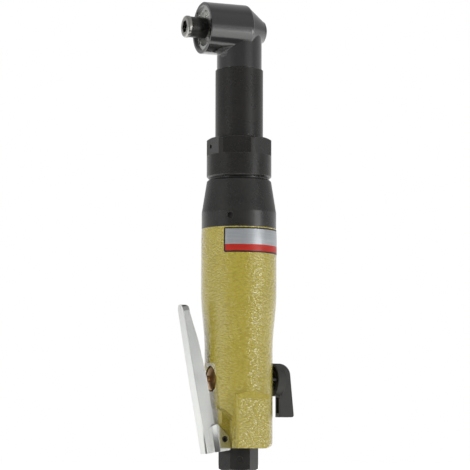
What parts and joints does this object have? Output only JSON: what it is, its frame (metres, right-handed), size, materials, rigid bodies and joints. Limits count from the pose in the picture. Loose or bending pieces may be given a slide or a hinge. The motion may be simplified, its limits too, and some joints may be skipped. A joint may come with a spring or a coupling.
{
  "type": "pneumatic angle screwdriver",
  "caption": "Lever-start pneumatic screwdriver with a cast handle, reversing knob, inner motor, gears and clutch, and a right-angle head with a hexagon bit chuck.",
  "frame": {"origin": "centre of the air inlet's bottom face, on the tool axis", "axes": "+Z along the tool axis from the inlet to the angle head; -X along the output spindle, on the lever's side; -Y towards the valve pad"},
  "size_m": [0.0671, 0.0423, 0.2594],
  "materials": {
    "painted_casting": "hammered olive enamel over cast aluminium",
    "black_steel": "satin black oxide on turned steel",
    "polished_steel": "polished nickel plate on pressed steel",
    "machined_steel": "ground and turned steel",
    "bronze": "turned bronze",
    "moulded_black": "fine textured moulded nylon",
    "seal_rubber": "nitrile rubber",
    "vane_resin": "resin bonded fabric"
  },
  "bodies": {
    "tool_body": {"inlet_bushing": "black_steel", "inlet_screen": "machined_steel", "handle_housing": "painted_casting", "exhaust_silencer": "bronze", "lever_hinge_pin": "black_steel", "throttle_bush": "bronze", "throttle_spring": "machined_steel", "valve_retaining_ring": "machined_steel", "knob_stop_pin": "machined_steel", "rear_end_plate": "machined_steel", "rear_bearing": "machined_steel", "cylinder_liner": "machined_steel", "front_end_plate": "machined_steel", "front_bearing": "machined_steel", "ring_gear": "machined_steel", "carrier_bearing": "machined_steel", "motor_cap": "black_steel", "coupling_nut": "black_steel", "neck_tube": "black_steel", "angle_head": "black_steel", "lower_pinion_bearing": "machined_steel", "pinion_spacer": "machined_steel", "upper_pinion_bearing": "machined_steel", "spindle_bush": "bronze", "spindle_bearing": "machined_steel", "bearing_retainer": "black_steel"},
    "lever": {"throttle_lever": "polished_steel"},
    "throttle": {"throttle_pin": "bronze", "throttle_valve_disc": "seal_rubber"},
    "reverse": {"reverse_valve": "machined_steel", "valve_o_rings": "seal_rubber", "reverse_knob": "moulded_black", "knob_cross_pin": "machined_steel"},
    "rotor_train": {"rotor": "machined_steel", "rotor_vanes": "vane_resin", "sun_gear": "machined_steel"},
    "drive_train": {"planet_pins": "machined_steel", "planet_carrier": "machined_steel", "clutch_driver": "machined_steel", "clutch_spring": "machined_steel", "clutch_adjuster": "black_steel", "pinion_shaft": "machined_steel"},
    "planet_a": {"planet_gear_1": "machined_steel"},
    "planet_b": {"planet_gear_2": "machined_steel"},
    "planet_c": {"planet_gear_3": "machined_steel"},
    "clutch": {"clutch_jaw": "machined_steel"},
    "output": {"bevel_gear": "machined_steel", "spindle": "machined_steel", "spindle_bearing_inner": "machined_steel", "chuck_collar": "polished_steel", "chuck_spring": "machined_steel", "bit_ball": "machined_steel"},
    "sleeve": {"chuck_sleeve": "black_steel"}
  },
  "joints": [
    {"name": "lever_press", "type": "hinge", "parent": "tool_body", "child": "lever", "pos_m": [-0.0116, 0, 0.017], "axis": [0, 1, 0], "range_deg": [0, 5], "stiffness_Nm_per_rad": 0.6, "springref_deg": -4.58},
    {"name": "throttle_travel", "type": "slide", "parent": "tool_body", "child": "throttle", "axis": [1, 0, 0], "range_m": [0, 0.0031], "deforming": ["throttle_spring"]},
    {"name": "reverse_turn", "type": "hinge", "parent": "tool_body", "child": "reverse", "pos_m": [0.0202, 0, 0.05], "axis": [1, 0, 0], "range_deg": [0, 90]},
    {"name": "rotor_spin", "type": "hinge", "parent": "tool_body", "child": "rotor_train", "pos_m": [0, 0, 0.092], "axis": [0, 0, 1], "continuous": true},
    {"name": "drive_spin", "type": "hinge", "parent": "tool_body", "child": "drive_train", "pos_m": [0, 0, 0.145], "axis": [0, 0, 1], "continuous": true},
    {"name": "planet_a_spin", "type": "hinge", "parent": "drive_train", "child": "planet_a", "pos_m": [0.0096, 0, 0.127], "axis": [0, 0, 1], "continuous": true},
    {"name": "planet_b_spin", "type": "hinge", "parent": "drive_train", "child": "planet_b", "pos_m": [-0.0048, 0.00831, 0.127], "axis": [0, 0, 1], "continuous": true},
    {"name": "planet_c_spin", "type": "hinge", "parent": "drive_train", "child": "planet_c", "pos_m": [-0.0048, -0.00831, 0.127], "axis": [0, 0, 1], "continuous": true},
    {"name": "clutch_lift", "type": "slide", "parent": "drive_train", "child": "clutch", "axis": [0, 0, 1], "range_m": [0, 0.0022], "stiffness_N_per_m": 8000, "springref_m": -0.004, "deforming": ["clutch_spring"]},
    {"name": "spindle_spin", "type": "hinge", "parent": "tool_body", "child": "output", "pos_m": [0, 0, 0.2449], "axis": [-1, 0, 0], "continuous": true},
    {"name": "sleeve_slide", "type": "slide", "parent": "output", "child": "sleeve", "axis": [1, 0, 0], "range_m": [0, 0.0018], "stiffness_N_per_m": 1500, "springref_m": -0.002, "deforming": ["chuck_spring"]}
  ],
  "couplings": [
    {"joint": "throttle_travel", "follows": "lever_press", "m_per_rad": 0.035},
    {"joint": "drive_spin", "follows": "rotor_spin", "ratio": 0.25},
    {"joint": "planet_a_spin", "follows": "rotor_spin", "ratio": -0.75},
    {"joint": "planet_b_spin", "follows": "rotor_spin", "ratio": -0.75},
    {"joint": "planet_c_spin", "follows": "rotor_spin", "ratio": -0.75},
    {"joint": "spindle_spin", "follows": "rotor_spin", "ratio": 0.17647}
  ]
}
